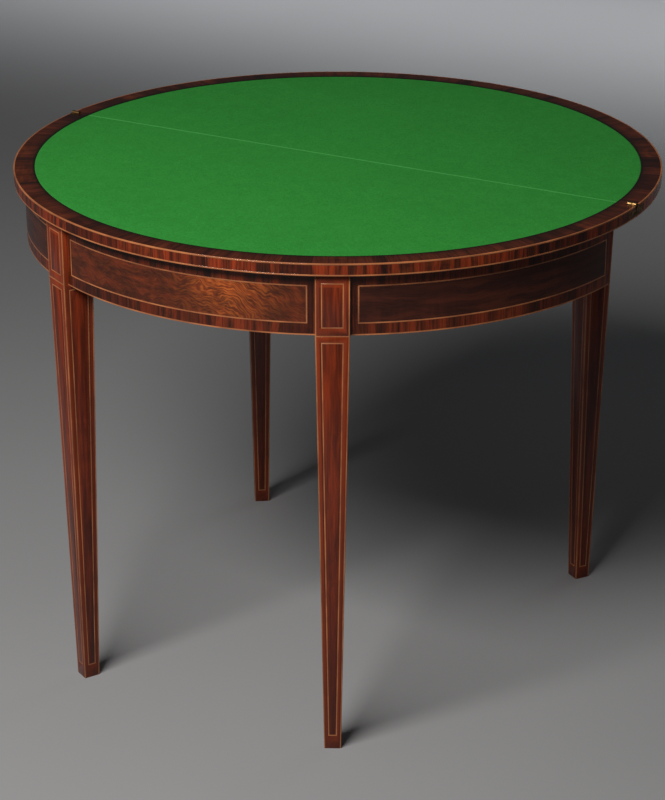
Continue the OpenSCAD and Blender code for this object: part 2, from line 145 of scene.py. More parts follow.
# The table's own sizes, from the CAD pieces, and mahogany's three tones.
BAIZE_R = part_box("fixed_baize")[1].x
TOP_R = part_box("fixed_edge_banding")[1].x
FRIEZE_LOW, FRIEZE_HIGH = (corner.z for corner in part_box("frieze_front"))
DARK_RED = (0.016, 0.0038, 0.0024, 1)
RED_BROWN = (0.130, 0.0175, 0.0056, 1)
ORANGE_BROWN = (0.30, 0.062, 0.012, 1)


def new_group(name, inputs, outputs):
    """A shader node group: returns its tree, its inputs' sockets and its outputs' sockets."""
    tree = bpy.data.node_groups.new(name, "ShaderNodeTree")
    for label, kind in inputs:
        tree.interface.new_socket(label, in_out="INPUT", socket_type=kind)
    for label, kind in outputs:
        tree.interface.new_socket(label, in_out="OUTPUT", socket_type=kind)
    return tree, tree.nodes.new("NodeGroupInput").outputs, tree.nodes.new("NodeGroupOutput").inputs


def stretched(tree, vector, by):
    """A vector with each part multiplied, so that a pattern runs long in one direction."""
    return add(tree, "ShaderNodeVectorMath", {0: vector, 1: by}, operation="MULTIPLY").outputs[0]


def grain_noise(tree, vector, by, detail, low, high):
    """Noise on a stretched vector, with its contrast raised between low and high."""
    made = add(tree, "ShaderNodeTexNoise", {
        "Vector": stretched(tree, vector, by), "Scale": 1.0, "Detail": detail, "Roughness": 0.6,
    })
    ramp = add(tree, "ShaderNodeMapRange", {
        "Value": made.outputs["Fac"], "From Min": low, "From Max": high,
    }, interpolation_type="SMOOTHSTEP")
    return ramp.outputs["Result"]


def mixed(tree, factor, a, b):
    """Colour a turning into colour b as the factor rises."""
    made = add(tree, "ShaderNodeMix", {"Factor": factor, "A": a, "B": b}, data_type="RGBA")
    return made.outputs["Result"]


def maths(tree, operation, a, b=0.0):
    return add(tree, "ShaderNodeMath", {0: a, 1: b}, operation=operation).outputs[0]


# Timber: the grain runs along the vector's Z. Broad streaks carry the tone, bright
# ripples lie across them in patches, and fine fibres and short open pores break both.
timber, given, result = new_group(
    "timber",
    (("Vector", "NodeSocketVector"), ("Pale", "NodeSocketColor"), ("Middle", "NodeSocketColor"),
     ("Dark", "NodeSocketColor"), ("Figure", "NodeSocketFloat"), ("Gloss", "NodeSocketFloat")),
    (("Color", "NodeSocketColor"), ("Roughness", "NodeSocketFloat"), ("Height", "NodeSocketFloat")),
)
sway = add(timber, "ShaderNodeTexNoise", {"Vector": given["Vector"], "Scale": 11.0, "Detail": 2.0})
sway = add(timber, "ShaderNodeVectorMath", {0: sway.outputs["Color"], 1: (0.5, 0.5, 0.5)},
           operation="SUBTRACT")
sway = stretched(timber, sway.outputs[0], (0.022, 0.022, 0.03))
swayed = add(timber, "ShaderNodeVectorMath", {0: given["Vector"], 1: sway}, operation="ADD").outputs[0]
streak = grain_noise(timber, swayed, (95, 95, 5), 4, 0.36, 0.66)
fibre = grain_noise(timber, swayed, (620, 620, 24), 3, 0.25, 0.75)
pore = grain_noise(timber, given["Vector"], (1300, 1300, 62), 2, 0.60, 0.72)
ripple = grain_noise(timber, swayed, (16, 16, 75), 3, 0.42, 0.68)
patch = grain_noise(timber, given["Vector"], (7, 7, 7), 2, 0.44, 0.66)
tone = mixed(timber, streak, given["Dark"], given["Middle"])
lit = maths(timber, "MULTIPLY", maths(timber, "MULTIPLY", ripple, patch), given["Figure"])
tone = mixed(timber, lit, tone, given["Pale"])
tone = mixed(timber, maths(timber, "MULTIPLY", fibre, 0.35), tone,
             mixed(timber, 0.5, tone, given["Pale"]))
tone = mixed(timber, maths(timber, "MULTIPLY", pore, 0.6), tone, given["Dark"])
timber.links.new(tone, result["Color"])
smear = add(timber, "ShaderNodeTexNoise", {"Vector": given["Vector"], "Scale": 17.0, "Detail": 3.0})
rough = maths(timber, "ADD", given["Gloss"], maths(timber, "MULTIPLY", smear.outputs["Fac"], 0.12))
rough = maths(timber, "ADD", rough, maths(timber, "MULTIPLY", pore, 0.18))
timber.links.new(rough, result["Roughness"])
height = maths(timber, "SUBTRACT", maths(timber, "MULTIPLY", fibre, 0.3), pore)
timber.links.new(height, result["Height"])


def timber_material(name, colours, figure, gloss, vector_of, bump=0.12, coat=0.25, change=None):
    """Polished wood; vector_of gives the grain's vector, change may alter its colour."""
    made, tree, shader, place = new_material(name)
    pale, middle, dark = colours
    wood = add(tree, "ShaderNodeGroup", {}, node_tree=timber)
    tree.links.new(vector_of(tree, place), wood.inputs["Vector"])
    for label, colour in (("Pale", pale), ("Middle", middle), ("Dark", dark)):
        wood.inputs[label].default_value = colour
    wood.inputs["Figure"].default_value = figure
    wood.inputs["Gloss"].default_value = gloss
    colour = wood.outputs["Color"]
    if change:
        colour = change(tree, place, colour)
    tree.links.new(colour, shader.inputs["Base Color"])
    tree.links.new(wood.outputs["Roughness"], shader.inputs["Roughness"])
    bumps = add(tree, "ShaderNodeBump", {
        "Height": wood.outputs["Height"], "Strength": bump, "Distance": GRAIN_DEPTH,
    })
    tree.links.new(bumps.outputs["Normal"], shader.inputs["Normal"])
    shader.inputs["Specular IOR Level"].default_value = WOOD_SPECULAR
    shader.inputs["Coat Weight"].default_value = coat
    shader.inputs["Coat Roughness"].default_value = 0.10
    return made


def dress(names, material):
    for name in names:
        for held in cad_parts[name].material_slots:
            held.material = material


def grain_along_x(tree, place):
    """The board's own coordinates with its length as the grain's Z."""
    parts = add(tree, "ShaderNodeSeparateXYZ", {"Vector": place}).outputs
    turned_over = {"X": parts["Y"], "Y": parts["Z"], "Z": parts["X"]}
    return add(tree, "ShaderNodeCombineXYZ", turned_over).outputs[0]


# Leaf cores: solid mahogany boards under the veneers, seen from below and at the
# joint. Polished on the underside too, with the grain running along the joint.
leaf_wood = timber_material(
    "leaf_board", (ORANGE_BROWN, RED_BROWN, DARK_RED), 0.25, 0.30, grain_along_x, coat=0.25)
dress(("fixed_leaf", "flap_leaf"), leaf_wood)

# Crossbanding: short lengths of dark veneer laid side by side round the border and
# the rim, their grain running across the band. Each length has its own tone.
BAND_PIECE = 0.047
GLUE_LINE = 0.0003

# Arc length round the table, distance from its middle, and height, so that a grain
# can follow the curve. The seam of the angle is at the back of the flap.
round_table, given, result = new_group(
    "round_table", (("Vector", "NodeSocketVector"),),
    (("Upright", "NodeSocketVector"), ("Radial", "NodeSocketVector"),
     ("Lengthwise", "NodeSocketVector"), ("Arc", "NodeSocketFloat"), ("Radius", "NodeSocketFloat")),
)
parts = add(round_table, "ShaderNodeSeparateXYZ", {"Vector": given["Vector"]}).outputs
angle = maths(round_table, "ARCTAN2", parts["X"], maths(round_table, "MULTIPLY", parts["Y"], -1.0))
arc = maths(round_table, "MULTIPLY", angle, TOP_R)
out = maths(round_table, "SQRT", maths(
    round_table, "ADD", maths(round_table, "MULTIPLY", parts["X"], parts["X"]),
    maths(round_table, "MULTIPLY", parts["Y"], parts["Y"])))
for label, order in (
    ("Upright", (arc, out, parts["Z"])), ("Radial", (arc, parts["Z"], out)),
    ("Lengthwise", (parts["Z"], out, arc)),
):
    joined = add(round_table, "ShaderNodeCombineXYZ", {"X": order[0], "Y": order[1], "Z": order[2]})
    round_table.links.new(joined.outputs[0], result[label])
round_table.links.new(arc, result["Arc"])
round_table.links.new(out, result["Radius"])

# One length of veneer after another: gives each its own tone, moves the grain so
# that no two match, and marks the fine glue line between them.
veneer_lengths, given, result = new_group(
    "veneer_lengths",
    (("Vector", "NodeSocketVector"), ("Arc", "NodeSocketFloat"), ("Length", "NodeSocketFloat")),
    (("Vector", "NodeSocketVector"), ("Tone", "NodeSocketFloat"), ("Glue Line", "NodeSocketFloat")),
)
count = maths(veneer_lengths, "DIVIDE", given["Arc"], given["Length"])
wobble = add(veneer_lengths, "ShaderNodeTexNoise", {"W": count, "Scale": 0.9}, noise_dimensions="1D")
uneven = maths(veneer_lengths, "MULTIPLY", wobble.outputs["Fac"], 1.2)
count = maths(veneer_lengths, "ADD", count, uneven)
piece_no = maths(veneer_lengths, "FLOOR", count)
chance = add(veneer_lengths, "ShaderNodeTexWhiteNoise", {"W": piece_no}, noise_dimensions="1D")
moved = add(veneer_lengths, "ShaderNodeVectorMath", {0: chance.outputs["Color"], 1: given["Vector"]},
            operation="ADD")
veneer_lengths.links.new(moved.outputs[0], result["Vector"])
veneer_lengths.links.new(chance.outputs["Value"], result["Tone"])
within = maths(veneer_lengths, "FRACT", count)
from_edge = maths(veneer_lengths, "SUBTRACT", 0.5, maths(
    veneer_lengths, "ABSOLUTE", maths(veneer_lengths, "SUBTRACT", within, 0.5)))
edge_distance = maths(veneer_lengths, "MULTIPLY", from_edge, given["Length"])
line = maths(veneer_lengths, "LESS_THAN", edge_distance, GLUE_LINE)
veneer_lengths.links.new(line, result["Glue Line"])


def crossband_material(name, direction, gloss, middle, edge_shade):
    """Crossbanded veneer; direction is the round_table output that the grain follows."""
    made, tree, shader, place = new_material(name)
    about = add(tree, "ShaderNodeGroup", {}, node_tree=round_table)
    tree.links.new(place, about.inputs["Vector"])
    pieces = add(tree, "ShaderNodeGroup", {}, node_tree=veneer_lengths)
    tree.links.new(about.outputs[direction], pieces.inputs["Vector"])
    tree.links.new(about.outputs["Arc"], pieces.inputs["Arc"])
    pieces.inputs["Length"].default_value = BAND_PIECE
    wood = add(tree, "ShaderNodeGroup", {
        "Pale": ORANGE_BROWN, "Middle": middle, "Dark": DARK_RED, "Figure": 0.25, "Gloss": gloss,
    }, node_tree=timber)
    tree.links.new(pieces.outputs["Vector"], wood.inputs["Vector"])
    shade = add(tree, "ShaderNodeMapRange", {
        "Value": pieces.outputs["Tone"], "From Min": 0.0, "From Max": 0.32,
        "To Min": 0.72, "To Max": 0.0,
    })
    colour = mixed(tree, shade.outputs["Result"], wood.outputs["Color"], DARK_RED)
    for scale, low, high, strength in ((26.0, 0.60, 0.68, 0.7), (310.0, 0.48, 0.70, 0.45)):
        stain = add(tree, "ShaderNodeTexNoise", {
            "W": maths(tree, "MULTIPLY", about.outputs["Arc"], scale), "Scale": 1.0, "Detail": 2.0,
        }, noise_dimensions="1D")
        stain = add(tree, "ShaderNodeMapRange", {
            "Value": stain.outputs["Fac"], "From Min": low, "From Max": high,
        }, interpolation_type="SMOOTHSTEP")
        colour = mixed(tree, maths(tree, "MULTIPLY", stain.outputs["Result"], strength), colour,
                       (0.009, 0.0035, 0.0025, 1))
    colour = mixed(tree, maths(tree, "MULTIPLY", pieces.outputs["Glue Line"], 0.6), colour,
                   (0.010, 0.003, 0.002, 1))
    if edge_shade:
        for near, far, strength in ((0.0010, 0.0045, 0.95), (0.0030, 0.0150, 0.45)):
            rim = add(tree, "ShaderNodeMapRange", {
                "Value": about.outputs["Radius"], "From Min": BAIZE_R + near, "From Max": BAIZE_R + far,
                "To Min": strength, "To Max": 0.0,
            })
            colour = mixed(tree, rim.outputs["Result"], colour, (0.006, 0.003, 0.002, 1))
    tree.links.new(colour, shader.inputs["Base Color"])
    tree.links.new(wood.outputs["Roughness"], shader.inputs["Roughness"])
    bumps = add(tree, "ShaderNodeBump", {
        "Height": wood.outputs["Height"], "Strength": 0.1, "Distance": GRAIN_DEPTH,
    })
    tree.links.new(bumps.outputs["Normal"], shader.inputs["Normal"])
    shader.inputs["Specular IOR Level"].default_value = WOOD_SPECULAR
    shader.inputs["Coat Weight"].default_value = 0.25
    shader.inputs["Coat Roughness"].default_value = 0.08
    return made


dress(("fixed_crossbanding", "flap_crossbanding"),
      crossband_material("border_crossbanding", "Radial", 0.24, (0.062, 0.013, 0.0065, 1), True))
dress(("fixed_edge_banding", "flap_edge_banding"),
      crossband_material("rim_crossbanding", "Upright", 0.22, (0.235, 0.027, 0.0060, 1), False))
dress(("frieze_band_front", "frieze_band_right", "frieze_band_left"),
      crossband_material("frieze_crossbanding", "Upright", 0.26, (0.150, 0.0195, 0.0055, 1), False))

# Strings: pale boxwood lines glued into grooves and polished flush with the
# veneer. Handling has rounded the ones on the arrises and darkened them in places.
ARRIS_ROUND = 0.0004
BEVEL_ANGLE = 40
SHARP_ANGLE = 38


def frozen(piece):
    """Gives a piece the mesh that its modifiers make, and returns that mesh."""
    graph = bpy.context.evaluated_depsgraph_get()
    made = bpy.data.meshes.new_from_object(piece.evaluated_get(graph))
    piece.modifiers.clear()
    piece.data = made
    return made


def softened(name, body, material, width=ARRIS_ROUND):
    """A copy of a CAD node with its sharp arrises rounded, standing for that node."""
    work = bmesh.new()
    work.from_mesh(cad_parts[name].data)
    bmesh.ops.remove_doubles(work, verts=work.verts, dist=WELD)
    bmesh.ops.dissolve_limit(
        work, angle_limit=math.radians(0.5), verts=work.verts, edges=work.edges)
    mesh = bpy.data.meshes.new(name + "_softened")
    work.to_mesh(mesh)
    work.free()
    piece = bpy.data.objects.new(name + "_softened", mesh)
    bpy.context.scene.collection.objects.link(piece)
    bevel = piece.modifiers.new("arris", "BEVEL")
    bevel.width = width
    bevel.segments = 2
    bevel.limit_method = "ANGLE"
    bevel.angle_limit = math.radians(BEVEL_ANGLE)
    made = frozen(piece)
    made.name = name + "_softened"
    made.materials.clear()
    made.materials.append(material)
    for face in made.polygons:
        face.use_smooth = True
    made.set_sharp_from_angle(angle=math.radians(SHARP_ANGLE))
    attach(piece, body)
    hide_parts(name)
    return piece


boxwood, tree, shader, place = new_material("boxwood")
handled = add(tree, "ShaderNodeTexNoise", {"Vector": place, "Scale": 24.0, "Detail": 4.0})
handled = add(tree, "ShaderNodeMapRange", {
    "Value": handled.outputs["Fac"], "From Min": 0.35, "From Max": 0.68,
})
fine = add(tree, "ShaderNodeTexNoise", {"Vector": place, "Scale": 900.0, "Detail": 2.0})
line_tone = mixed(tree, handled.outputs["Result"], (0.40, 0.135, 0.046, 1), (0.15, 0.038, 0.014, 1))
line_tone = mixed(tree, maths(tree, "MULTIPLY", fine.outputs["Fac"], 0.3), line_tone,
                  (0.50, 0.22, 0.09, 1))
tree.links.new(line_tone, shader.inputs["Base Color"])
line_rough = add(tree, "ShaderNodeMapRange", {
    "Value": handled.outputs["Result"], "To Min": 0.26, "To Max": 0.42,
})
tree.links.new(line_rough.outputs["Result"], shader.inputs["Roughness"])
shader.inputs["Specular IOR Level"].default_value = 0.3
shader.inputs["Coat Weight"].default_value = 0.3
dress(("frieze_stringing_front", "frieze_stringing_right", "frieze_stringing_left"), boxwood)
for name, body in (
    ("fixed_stringing", "frame"), ("flap_stringing", "flap"),
    ("leg_stringing_right", "frame"), ("leg_stringing_left", "frame"),
    ("gate_stringing_right", "right_gate"), ("gate_stringing_left", "left_gate"),
):
    softened(name, body, boxwood)

# Baize: green woollen cloth glued flat in the recess of each leaf, cut at the joint.
# The pressed nap is slightly uneven, and a little pale lint has settled on it.
baize, tree, shader, place = new_material("baize")
broad = add(tree, "ShaderNodeTexNoise", {"Vector": place, "Scale": 5.0, "Detail": 3.0})
worn = add(tree, "ShaderNodeTexNoise", {"Vector": place, "Scale": 42.0, "Detail": 4.0, "Roughness": 0.6})
nap = add(tree, "ShaderNodeTexNoise", {"Vector": place, "Scale": 330.0, "Detail": 4.0, "Roughness": 0.7})
fuzz = add(tree, "ShaderNodeTexNoise", {"Vector": place, "Scale": 1500.0, "Detail": 2.0})
green = mixed(tree, broad.outputs["Fac"], (0.018, 0.172, 0.024, 1), (0.026, 0.232, 0.033, 1))
for source, low, high, strength, shade in (
    (worn, 0.36, 0.70, 0.40, (0.034, 0.262, 0.040, 1)),
    (nap, 0.36, 0.66, 0.55, (0.010, 0.108, 0.014, 1)),
    (fuzz, 0.45, 0.75, 0.40, (0.052, 0.340, 0.060, 1)),
):
    spread = add(tree, "ShaderNodeMapRange", {
        "Value": source.outputs["Fac"], "From Min": low, "From Max": high, "To Max": strength,
    })
    green = mixed(tree, spread.outputs["Result"], green, shade)
across = add(tree, "ShaderNodeSeparateXYZ", {"Vector": place}).outputs["Y"]
cut_edge = add(tree, "ShaderNodeMapRange", {
    "Value": maths(tree, "ABSOLUTE", across), "From Min": 0.0009, "From Max": 0.0024,
    "To Min": 0.62, "To Max": 0.0,
})
green = mixed(tree, cut_edge.outputs["Result"], green, (0.075, 0.360, 0.085, 1))
lint = add(tree, "ShaderNodeTexVoronoi", {"Vector": place, "Scale": 13.0, "Randomness": 1.0})
speck = maths(tree, "LESS_THAN", lint.outputs["Distance"], 0.015)
picked = add(tree, "ShaderNodeSeparateColor", {"Color": lint.outputs["Color"]})
speck = maths(tree, "MULTIPLY", speck, maths(tree, "GREATER_THAN", picked.outputs["Red"], 0.80))
green = mixed(tree, maths(tree, "MULTIPLY", speck, 0.7), green, (0.36, 0.52, 0.30, 1))
tree.links.new(green, shader.inputs["Base Color"])
cloth_rough = add(tree, "ShaderNodeMapRange", {
    "Value": nap.outputs["Fac"], "To Min": 0.88, "To Max": 1.0,
})
tree.links.new(cloth_rough.outputs["Result"], shader.inputs["Roughness"])
pile = maths(tree, "ADD", nap.outputs["Fac"], maths(tree, "MULTIPLY", fuzz.outputs["Fac"], 0.6))
bumps = add(tree, "ShaderNodeBump", {"Height": pile, "Strength": 0.5, "Distance": 0.0006})
tree.links.new(bumps.outputs["Normal"], shader.inputs["Normal"])
shader.inputs["Specular IOR Level"].default_value = 0.03
shader.inputs["Sheen Weight"].default_value = 0.06
shader.inputs["Sheen Roughness"].default_value = 0.5
shader.inputs["Sheen Tint"].default_value = (0.25, 0.75, 0.28, 1)


def baize_cloth(name, node, body, side):
    """Half-round cloth in its recess; side is -1 for the fixed leaf and 1 for the flap."""
    low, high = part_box(node)
    columns, rows = 150, 76
    joint = 0.0001
    unevenness = 0.00012
    edge_dip, edge_width = 0.0005, 0.0015
    work = bmesh.new()
    levels = []
    for surface in ("top", "under"):
        grid = []
        for i in range(columns + 1):
            x = -BAIZE_R * math.cos(math.pi * i / columns)
            reach = math.sqrt(max(BAIZE_R ** 2 - x ** 2, joint ** 2))
            row = []
            for j in range(rows + 1):
                y = side * (joint + (reach - joint) * math.sin(math.pi / 2 * j / rows))
                if surface == "under":
                    z = low.z
                else:
                    wave = noise.noise(Vector((x * 14, y * 14, 3.0 + side)))
                    to_rim = (BAIZE_R - math.hypot(x, y)) / edge_width
                    z = high.z - unevenness * (1 - wave) - edge_dip * max(0.0, 1.0 - to_rim) ** 2
                row.append(work.verts.new((x, y, z)))
            grid.append(row)
        levels.append(grid)
        for i in range(columns):
            for j in range(rows):
                work.faces.new((grid[i][j], grid[i + 1][j], grid[i + 1][j + 1], grid[i][j + 1]))
    top, under = levels
    for i in range(columns):
        for j in (0, rows):
            work.faces.new((top[i][j], top[i + 1][j], under[i + 1][j], under[i][j]))
    for i in (0, columns):
        for j in range(rows):
            work.faces.new((top[i][j], top[i][j + 1], under[i][j + 1], under[i][j]))
    bmesh.ops.remove_doubles(work, verts=work.verts, dist=1e-6)
    bmesh.ops.recalc_face_normals(work, faces=work.faces)
    mesh = bpy.data.meshes.new(name)
    work.to_mesh(mesh)
    work.free()
    mesh.materials.append(baize)
    for face in mesh.polygons:
        face.use_smooth = True
    mesh.set_sharp_from_angle(angle=math.radians(50))
    piece = bpy.data.objects.new(name, mesh)
    bpy.context.scene.collection.objects.link(piece)
    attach(piece, body)
    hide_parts(node)
    return piece


baize_cloth("fixed_baize_cloth", "fixed_baize", "frame", -1)
baize_cloth("flap_baize_cloth", "flap_baize", "flap", 1)

# Frieze: curved rails faced with mahogany veneer inside the strings. The middle bay
# has a flame figure, a bright feather with fine curls off to one side of its middle;
# the side bays are plainer, with the grain running lengthwise, and their darker
# colours are painted shade.
FEATHER_ARC = 0.088
FEATHER_SPREAD = 0.055
FRIEZE_MIDDLE = (FRIEZE_LOW + FRIEZE_HIGH) / 2


def figure_along_arc(tree, place):
    about = add(tree, "ShaderNodeGroup", {}, node_tree=round_table)
    tree.links.new(place, about.inputs["Vector"])
    return about.outputs["Lengthwise"]


def feather(tree, place, colour):
    """Dark mottling all over, and bright curls that fan out round FEATHER_ARC."""
    about = add(tree, "ShaderNodeGroup", {}, node_tree=round_table)
    tree.links.new(place, about.inputs["Vector"])
    height = add(tree, "ShaderNodeSeparateXYZ", {"Vector": place}).outputs["Z"]
    beside = maths(tree, "SUBTRACT", about.outputs["Arc"], FEATHER_ARC)
    sloped = maths(tree, "ADD", maths(tree, "MULTIPLY", maths(tree, "MAXIMUM", beside, 0.0), 0.62),
                   maths(tree, "MULTIPLY", maths(tree, "MINIMUM", beside, 0.0), 0.10))
    bend = add(tree, "ShaderNodeTexNoise", {"Vector": place, "Scale": 34.0, "Detail": 2.0})
    lift = maths(tree, "ADD", maths(tree, "ADD", height, sloped),
                 maths(tree, "MULTIPLY", bend.outputs["Fac"], 0.034))
    flow = add(tree, "ShaderNodeCombineXYZ", {"X": lift, "Y": 0.0, "Z": about.outputs["Arc"]}).outputs[0]
    curl = grain_noise(tree, flow, (430, 1, 62), 3, 0.40, 0.64)
    mottle = grain_noise(tree, flow, (52, 1, 30), 4, 0.38, 0.64)
    glow = maths(tree, "DIVIDE", beside, FEATHER_SPREAD)
    glow = maths(tree, "EXPONENT", maths(tree, "MULTIPLY", maths(tree, "MULTIPLY", glow, glow), -1.0))
    upper = add(tree, "ShaderNodeMapRange", {
        "Value": maths(tree, "SUBTRACT", height, FRIEZE_MIDDLE), "From Min": -0.030, "From Max": 0.012,
        "To Min": 0.35, "To Max": 1.0,
    }).outputs["Result"]
    glow = maths(tree, "MULTIPLY", glow, upper)
    colour = mixed(tree, maths(tree, "MULTIPLY", mottle, 0.80), colour, (0.024, 0.0072, 0.0042, 1))
    clear = maths(tree, "SUBTRACT", 1.0, maths(tree, "MULTIPLY", mottle, 0.7))
    warm = maths(tree, "MULTIPLY", glow, clear)
    colour = mixed(tree, maths(tree, "MULTIPLY", warm, 0.60), colour, (0.34, 0.064, 0.011, 1))
    strength = maths(tree, "ADD", maths(tree, "MULTIPLY", glow, 0.42), 0.05)
    colour = mixed(tree, maths(tree, "MULTIPLY", curl, strength), colour, (0.58, 0.150, 0.026, 1))
    shadow = maths(tree, "ADD", maths(tree, "MULTIPLY", glow, 0.18), 0.22)
    return mixed(tree, maths(tree, "MULTIPLY", maths(tree, "SUBTRACT", 1.0, curl), shadow), colour,
                 (0.034, 0.0085, 0.0042, 1))


BAY_COLOURS = ((0.21, 0.036, 0.010, 1), (0.105, 0.0185, 0.0070, 1), (0.030, 0.0076, 0.0044, 1))
flame = timber_material("flame_veneer", BAY_COLOURS, 0.3, 0.24, figure_along_arc, change=feather)
dress(("frieze_panel_front",), flame)
# The side bays' darker colours are painted shade, not the veneer's own tone.
side_veneer_painted_shade = timber_material(
    "side_veneer_painted_shade", ((0.120, 0.026, 0.010, 1), (0.052, 0.0125, 0.0064, 1), (0.018, 0.0052, 0.0038, 1)),
    0.2, 0.26, figure_along_arc)
dress(("frieze_panel_right", "frieze_panel_left"), side_veneer_painted_shade)
rail_wood = timber_material(
    "frieze_rail", (ORANGE_BROWN, RED_BROWN, DARK_RED), 0.1, 0.42, figure_along_arc, coat=0.0)
dress(("frieze_front", "frieze_right", "frieze_left"), rail_wood)

# Legs: solid mahogany, square and tapered, with the grain running down their
# length. Inside the string panels the veneer is darker and streaky; outside them it
# is plainer and warmer. Feet have picked up knocks and dirt just above the floor.
LEG_COLOURS = ((0.30, 0.050, 0.011, 1), (0.190, 0.0255, 0.0075, 1), (0.082, 0.0125, 0.0056, 1))
FOOT_WORN = 0.035
LEG_PANEL_IN, FOOT_PANEL_IN = 0.0068, 0.0049
LEG_PANEL_DROP, FOOT_PANEL_UP = 0.009, 0.021
BLOCK_PANEL_TOP, BLOCK_PANEL_BOTTOM = 0.018, 0.012


def foot_of(name):
    """Middle of a leg's foot, its half width, and the leg's turn about the vertical."""
    corners = [point.co.to_2d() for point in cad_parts[name].data.vertices if point.co.z < 1e-5]
    low = Vector((min(c.x for c in corners), min(c.y for c in corners)))
    high = Vector((max(c.x for c in corners), max(c.y for c in corners)))
    middle = (low + high) / 2
    corner = max(corners, key=lambda c: (c - middle).length)
    turn = math.atan2((corner - middle).y, (corner - middle).x) - math.pi / 4
    return middle, (corner - middle).length / math.sqrt(2), turn


def top_half_width(name, middle):
    """Half the leg's width at the frieze."""
    far = max((point.co.to_2d() - middle).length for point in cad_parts[name].data.vertices)
    return far / math.sqrt(2)


leg_panel, given, result = new_group(
    "leg_panel",
    (("Vector", "NodeSocketVector"), ("Foot Half", "NodeSocketFloat"), ("Knee Half", "NodeSocketFloat")),
    (("Panel", "NodeSocketFloat"),),
)
parts = add(leg_panel, "ShaderNodeSeparateXYZ", {"Vector": given["Vector"]}).outputs
beside = maths(leg_panel, "MINIMUM", maths(leg_panel, "ABSOLUTE", parts["X"]),
               maths(leg_panel, "ABSOLUTE", parts["Y"]))
reach = add(leg_panel, "ShaderNodeMapRange", {
    "Value": parts["Z"], "From Min": 0.0, "From Max": FRIEZE_LOW,
    "To Min": maths(leg_panel, "SUBTRACT", given["Foot Half"], FOOT_PANEL_IN),
    "To Max": maths(leg_panel, "SUBTRACT", given["Knee Half"], LEG_PANEL_IN),
}).outputs["Result"]
inside = maths(leg_panel, "LESS_THAN", beside, reach)
spans = []
for low, high in ((FOOT_PANEL_UP, FRIEZE_LOW - LEG_PANEL_DROP),
                  (FRIEZE_LOW + BLOCK_PANEL_BOTTOM, FRIEZE_HIGH - BLOCK_PANEL_TOP)):
    spans.append(maths(leg_panel, "MULTIPLY", maths(leg_panel, "GREATER_THAN", parts["Z"], low),
                       maths(leg_panel, "LESS_THAN", parts["Z"], high)))
either = maths(leg_panel, "ADD", *spans)
leg_panel.links.new(maths(leg_panel, "MULTIPLY", inside, either), result["Panel"])


def grain_upright(tree, place):
    return place


def leg_finish(name):
    """Polished leg veneer, with the panels set by this leg's own place and turn."""
    middle, foot_half, turn = foot_of(name)
    knee_half = top_half_width(name, middle)

    def change(tree, place, colour):
        own = add(tree, "ShaderNodeMapping", {
            "Vector": place, "Location": (middle.x, middle.y, 0), "Rotation": (0, 0, turn),
        }, vector_type="TEXTURE").outputs[0]
        panel = add(tree, "ShaderNodeGroup", {"Foot Half": foot_half, "Knee Half": knee_half},
                    node_tree=leg_panel)
        tree.links.new(own, panel.inputs["Vector"])
        streaks = grain_noise(tree, place, (190, 190, 7), 4, 0.40, 0.62)
        core = mixed(tree, maths(tree, "MULTIPLY", streaks, 0.62), colour, (0.030, 0.0075, 0.0048, 1))
        margin = mixed(tree, 0.45, colour, (0.225, 0.033, 0.0080, 1))
        colour = mixed(tree, panel.outputs["Panel"], margin, core)
        parts = add(tree, "ShaderNodeSeparateXYZ", {"Vector": place}).outputs
        low = add(tree, "ShaderNodeMapRange", {
            "Value": parts["Z"], "From Min": 0.0, "From Max": FOOT_WORN, "To Min": 0.85, "To Max": 0.0,
        }, interpolation_type="SMOOTHSTEP")
        scuff = add(tree, "ShaderNodeTexNoise", {"Vector": place, "Scale": 160.0, "Detail": 4.0})
        worn = maths(tree, "MULTIPLY", low.outputs["Result"], scuff.outputs["Fac"])
        # The leg's colour grows darker towards the foot.
        darker_towards_foot = add(tree, "ShaderNodeMapRange", {
            "Value": parts["Z"], "From Min": 0.0, "From Max": FRIEZE_LOW, "To Min": 0.30, "To Max": 0.0,
        }).outputs["Result"]
        colour = mixed(tree, darker_towards_foot, colour, (0.050, 0.011, 0.006, 1))
        return mixed(tree, worn, colour, (0.022, 0.011, 0.008, 1))

    return timber_material(
        name + "_mahogany", LEG_COLOURS, 0.2, 0.26, grain_upright, change=change)


for name, body in (("leg_right", "frame"), ("leg_left", "frame"),
                   ("gate_leg_right", "right_gate"), ("gate_leg_left", "left_gate")):
    softened(name, body, leg_finish(name), width=0.0002)

# Inner frame and fly rails: plain unpolished oak and pine behind the frieze, dry
# and dusty, with the grain along each rail.
INNER_COLOURS = ((0.42, 0.24, 0.11, 1), (0.25, 0.125, 0.055, 1), (0.10, 0.045, 0.020, 1))
INNER_ROUND = 0.0008


def unpolished(name, vector_of):
    return timber_material(name, INNER_COLOURS, 0.15, 0.55, vector_of, bump=0.3, coat=0.0)


plain_wood = unpolished("secondary_wood", grain_along_x)


def fly_rail_wood(end):
    """The same wood with its grain along one gate's rail, which stands swung out."""
    pin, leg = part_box("gate_pin_" + end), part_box("gate_leg_" + end)
    reach = (leg[0] + leg[1]) / 2 - (pin[0] + pin[1]) / 2

    def along_rail(tree, place):
        turned_back = add(tree, "ShaderNodeMapping", {
            "Vector": place, "Rotation": (0, 0, math.atan2(reach.y, reach.x)),
        }, vector_type="TEXTURE").outputs[0]
        return grain_along_x(tree, turned_back)

    return unpolished("fly_rail_" + end, along_rail)


for end in ("right", "left"):
    softened("gate_rail_" + end, end + "_gate", fly_rail_wood(end), width=INNER_ROUND)
for name in (
    "back_rail", "knuckle_rail", "spacer_block", "middle_rail",
    "block_inner_right", "block_inner_left", "block_outer_right", "block_outer_left",
):
    softened(name, "frame", plain_wood, width=INNER_ROUND)

